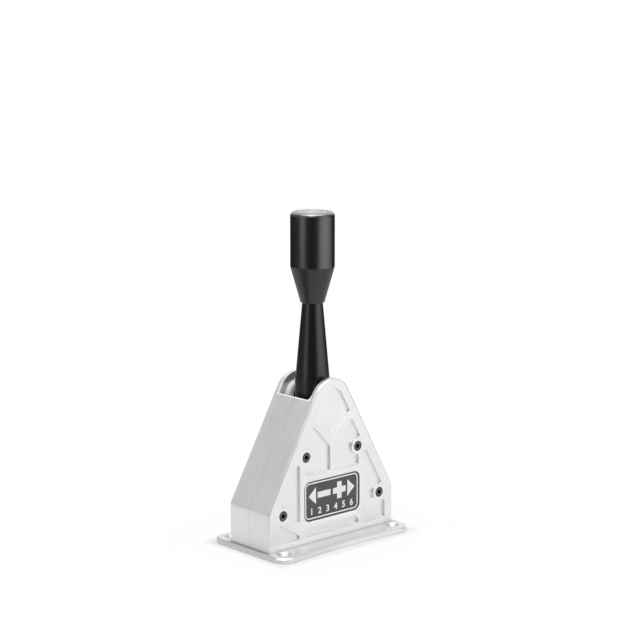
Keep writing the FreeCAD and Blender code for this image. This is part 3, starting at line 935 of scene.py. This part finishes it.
def coil_spring(name, node):
    """Wire round a helix: its centre line turns evenly about the plunger's axis, moves along it one
    wire's width per turn in the first and last turn and evenly in between, and each ring of the wire
    lies square to it. The ends are closed."""
    wire = 0.55 * mm
    closed = 1.15 * mm
    turns = 9
    turn_steps = 32
    sides = 12
    wire_crease = 60
    low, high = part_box(node)
    axis_z = (low[2] + high[2]) / 2
    radius = (high[2] - low[2]) / 2 - wire
    travel = high[0] - low[0] - 2 * wire
    turn = np.linspace(0, turns, turns * turn_steps + 1)
    along = np.interp(turn, [0, 1, turns - 1, turns], [0, closed, travel - closed, travel])
    angle = 2 * np.pi * turn
    centre = np.stack([along, radius * np.cos(angle), radius * np.sin(angle)], axis=-1)
    ahead = np.gradient(centre, axis=0)
    ahead /= np.linalg.norm(ahead, axis=1, keepdims=True)
    outward = np.stack([np.zeros_like(angle), np.cos(angle), np.sin(angle)], axis=-1)
    sideways = np.cross(ahead, outward)
    sideways /= np.linalg.norm(sideways, axis=1, keepdims=True)
    ring = np.linspace(0, 2 * np.pi, sides, endpoint=False)[None, :, None]
    points = centre[:, None] + wire * (np.cos(ring) * outward[:, None] + np.sin(ring) * sideways[:, None])
    points = points.reshape(-1, 3) + [low[0] + wire, 0, axis_z]
    first = list(range(sides))
    last = list(range(len(points) - sides, len(points)))[::-1]
    mesh = new_mesh(name, points, band_faces(len(turn), sides).tolist() + [first, last])
    face_outwards(mesh)
    smooth_by_angle(mesh, wire_crease)
    return new_piece(name, mesh)


def fit_spring(side, material):
    """A return spring between its tower's end wall, which is farther out, and its plunger, which
    squeezes it."""
    node = f"{side}_spring"
    piece = coil_spring(f"{side}_coils", node)
    piece.data.materials.append(material)
    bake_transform(piece)
    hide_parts(node)


# Making


def dress_housing():
    """The halves, the collars on their bosses and the plate."""
    finish = housing_aluminium("machined_aluminium")
    pocket_finish = housing_aluminium("machined_aluminium_pockets", pockets=True)
    front = machined_copy("front_half", "front_housing", housing_edge)
    finish_piece(front, "housing", pocket_finish, "front_housing", slot="machined_aluminium")
    rear = machined_copy("rear_half", "rear_housing", housing_edge)
    finish_piece(rear, "housing", finish, "rear_housing", slot="machined_aluminium")
    finish_piece(boss_collars(), "housing", finish, slot="machined_aluminium")
    plate = machined_copy("plate", "base_plate", plate_edge)
    finish_piece(plate, "housing", plate_aluminium(), "base_plate", slot="machined_aluminium")


def dress_lever():
    """The lever, its knob and the disc in the knob's top."""
    black = black_anodised()
    lever = machined_copy("lever", "shift_lever", lever_edge)
    finish_piece(lever, "lever", black, "shift_lever", slot="black_anodised")
    finish_piece(knob_surface(), "lever", black, "knob", slot="black_anodised")
    disc_finish = turned_metal("cap_metal", (0.52, 0.52, 0.53), 0.28)
    finish_piece(disc_surface(), "lever", disc_finish, "knob_cap", slot="cap_metal")


def dress_face():
    """The screws and the badge with its marks and figures."""
    finish_piece(screw_surfaces(), "housing", screw_black(), "housing_screws", slot="black_oxide_steel")
    finish_piece(badge_surface(), "housing", badge_enamel(), "badge_plate", slot="badge_enamel")
    white = plain_finish("white_print", (0.95, 0.95, 0.95), 0.45, depth=0.002 * mm)
    finish_piece(shift_marks(), "housing", white, slot="badge_enamel")
    finish_piece(gear_digits(), "housing", white, slot="badge_enamel")


def dress_inside():
    """The springs, and finishes on the solids that are shown as they are."""
    wire = plain_finish("spring_wire", (0.45, 0.45, 0.47), 0.35, 1.0)
    for side in ("left", "right"):
        fit_spring(side, wire)
    about_axle = {"across": (1, 0, 1), "centre": (0, 0, pivot_z)}
    finishes = [
        (turned_metal("ground_steel", (0.55, 0.55, 0.56), 0.28, **about_axle),
         ["axle", "left_plunger", "right_plunger", "usb_socket"]),
        (turned_metal("bearing_bronze", (0.60, 0.42, 0.24), 0.3, **about_axle),
         ["front_bush", "rear_bush"]),
        (plain_finish("bright_aluminium", (0.78, 0.78, 0.80), 0.3, 1.0),
         ["left_tower_cover", "right_tower_cover"]),
        (plain_finish("acetal", (0.05, 0.05, 0.055), 0.45),
         ["left_spring_tower", "right_spring_tower", "board_supports"]),
        (plain_finish("rubber", (0.03, 0.03, 0.03), 0.75), ["left_buffer", "right_buffer"]),
        (plain_finish("circuit_board", (0.02, 0.12, 0.06), 0.35), ["sensor_board"]),
        (plain_finish("chip_black", (0.03, 0.03, 0.03), 0.55), ["hall_sensors", "controller_chip"]),
        (plain_finish("magnet_plating", (0.70, 0.70, 0.71), 0.22, 1.0), ["sensor_magnet"]),
    ]
    for material, nodes in finishes:
        for node in nodes:
            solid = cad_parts[node]
            solid.data.materials.clear()
            solid.data.materials.append(material)


def floor_light(tree, point):
    """How bright the floor's glow looks in metal, a painted light, and how far that glow stands in for the
    paper's own colour there: white near the object and toward the side lamps, with painted shade in front
    of it, on its left and close to the plate's left end."""
    least = 0.04
    level = vector(tree, "MULTIPLY", point, (1, 1, 0))
    reach = vector_length(tree, level)
    bearing = vector(tree, "NORMALIZE", level)

    def sector(turn, edge, core):
        """1 within core degrees of a direction, 0 past edge degrees."""
        along = dot(tree, bearing, tuple(toward_camera(math.radians(turn))))
        return fitted(tree, along, math.cos(math.radians(edge)), math.cos(math.radians(core)))

    def patch(turn, edge, core, none_at, full_at):
        """A sector that fades in from one distance from the object to another."""
        return product(tree, sector(turn, edge, core), fitted(tree, reach, none_at, full_at))

    right = sector(turn=70, edge=50, core=36)
    left = product(tree, sector(turn=-52, edge=24, core=10), 0.8)
    lit = largest(tree, right, left, fitted(tree, reach, 0.8, 0.4))
    ahead = patch(turn=0, edge=38, core=20, none_at=0.26, full_at=0.38)
    left_away = patch(turn=-52, edge=30, core=10, none_at=0.12, full_at=0.2)
    beside = patch(turn=-95, edge=55, core=30, none_at=0.13, full_at=0.08)
    past_end = fitted(tree, dot(tree, point, (-1, 0, 0)), half_width + 1 * mm, half_width + 6 * mm)
    near_end = product(tree, past_end, fitted(tree, reach, 84 * mm, 74 * mm))
    # Painted shade in the floor's glow that metal sees: ahead, on the left, beside and close to the
    # plate's left end.
    shares = [(ahead, 0.85), (left_away, 0.65), (beside, 0.15), (near_end, 0.4)]
    shade = largest(tree, *(product(tree, mask, share) for mask, share in shares))
    lit = product(tree, lit, calc(tree, "SUBTRACT", 1.0, shade))
    lit = calc(tree, "MULTIPLY_ADD", lit, 1 - least, least)
    stand_in = largest(tree, fitted(tree, reach, 0.05, 0.15, 0.4, 1.0), right, beside, near_end)
    return lit, stand_in


def past_plate(tree, point):
    """Distance of a floor point from the rectangle round the plate."""
    folded = vector(tree, "MULTIPLY", vector(tree, "ABSOLUTE", point), (1, 1, 0))
    past = vector(tree, "SUBTRACT", folded, (*plate_half, 0))
    return vector_length(tree, vector(tree, "MAXIMUM", past, (0, 0, 0)))


def paper_floor():
    """Pale paper that turns white away from the object. Metal sees a painted glow on it, white near the
    object and toward the lamps and painted dark elsewhere, as a table in a dim room."""
    half_size = 60.0
    material, tree = new_tree("paper")
    point = object_point(tree)
    path = put(tree, "LightPath")
    camera = path.outputs["Is Camera Ray"]
    mirror = largest(tree, path.outputs["Is Glossy Ray"], path.outputs["Is Transmission Ray"])
    lit, stand_in = floor_light(tree, point)
    gap = past_plate(tree, point)
    seen = calc(
        tree, "ADD", fitted(tree, gap, 0, 8 * mm, 0.12, 0.93), fitted(tree, gap, 6 * mm, 0.1, 0, 0.07),
    )
    share = largest(tree, product(tree, seen, camera), product(tree, stand_in, mirror))
    fibre = grain(tree, point, 700, detail=3.0)
    pale = between(tree, fibre, (0.86, 0.86, 0.86), (0.88, 0.88, 0.88))
    paper = put(tree, "BsdfDiffuse", {"Color": pale}).outputs[0]
    strength = largest(tree, lit, camera)
    white = put(tree, "Emission", {"Color": (1, 1, 1, 1), "Strength": strength}).outputs[0]
    mixed = put(tree, "MixShader", {0: share, 1: paper, 2: white}).outputs[0]
    put(tree, "OutputMaterial", {"Surface": mixed})
    corners = half_size * np.array([(-1, -1, 0), (1, -1, 0), (1, 1, 0), (-1, 1, 0)])
    mesh = new_mesh("floor", corners, [(0, 1, 2, 3)])
    mesh.materials.append(material)
    new_piece("floor", mesh)


def room():
    """Surround that is dim at the horizon and bright overhead and on the left, with a white backdrop
    behind the object."""
    world = bpy.data.worlds.new("studio")
    world.use_nodes = True
    bpy.context.scene.world = world
    tree = world.node_tree
    tree.nodes.clear()
    horizon_level = 0.06
    overhead_level = 0.53
    left_level = 0.62
    left = tuple(toward_camera(math.radians(-102)))
    behind = (0.60, 0.50, 0.62)
    direction = put(tree, "TexCoord").outputs["Generated"]
    height = dot(tree, direction, (0, 0, 1))
    dome = fitted(tree, height, 0.02, 0.42, horizon_level, overhead_level)
    left_wall = fitted(tree, dot(tree, direction, left), 0.6, 0.85, 0, left_level)
    backdrop = fitted(tree, dot(tree, direction, behind), 0.64, 0.80)
    camera = put(tree, "LightPath").outputs["Is Camera Ray"]
    strength = largest(tree, dome, left_wall, backdrop, camera)
    light = put(tree, "Background", {"Color": (1, 1, 1, 1), "Strength": strength})
    put(tree, "OutputWorld", {"Surface": light.outputs[0]})


def studio():
    """Floor, surround, three soft lamps, left, right and above the camera, and a card overhead."""
    bpy.context.scene.view_settings.view_transform = "Standard"
    paper_floor()
    room()
    soft_light("left_softbox", turn=-52, rise=18, distance=0.95, size=(0.42, 0.9), radiance=1.0)
    soft_light("right_softbox", turn=66, rise=18, distance=0.95, size=(0.92, 0.9), radiance=1.0)
    soft_light("top_softbox", turn=-8, rise=60, distance=1.0, size=(0.45, 0.75), radiance=3.6)
    soft_light("overhead_card", turn=0, rise=86, distance=0.9, size=(1.1, 0.4), radiance=2.2, card=True)


place_camera()
studio()
dress_housing()
dress_lever()
dress_face()
dress_inside()
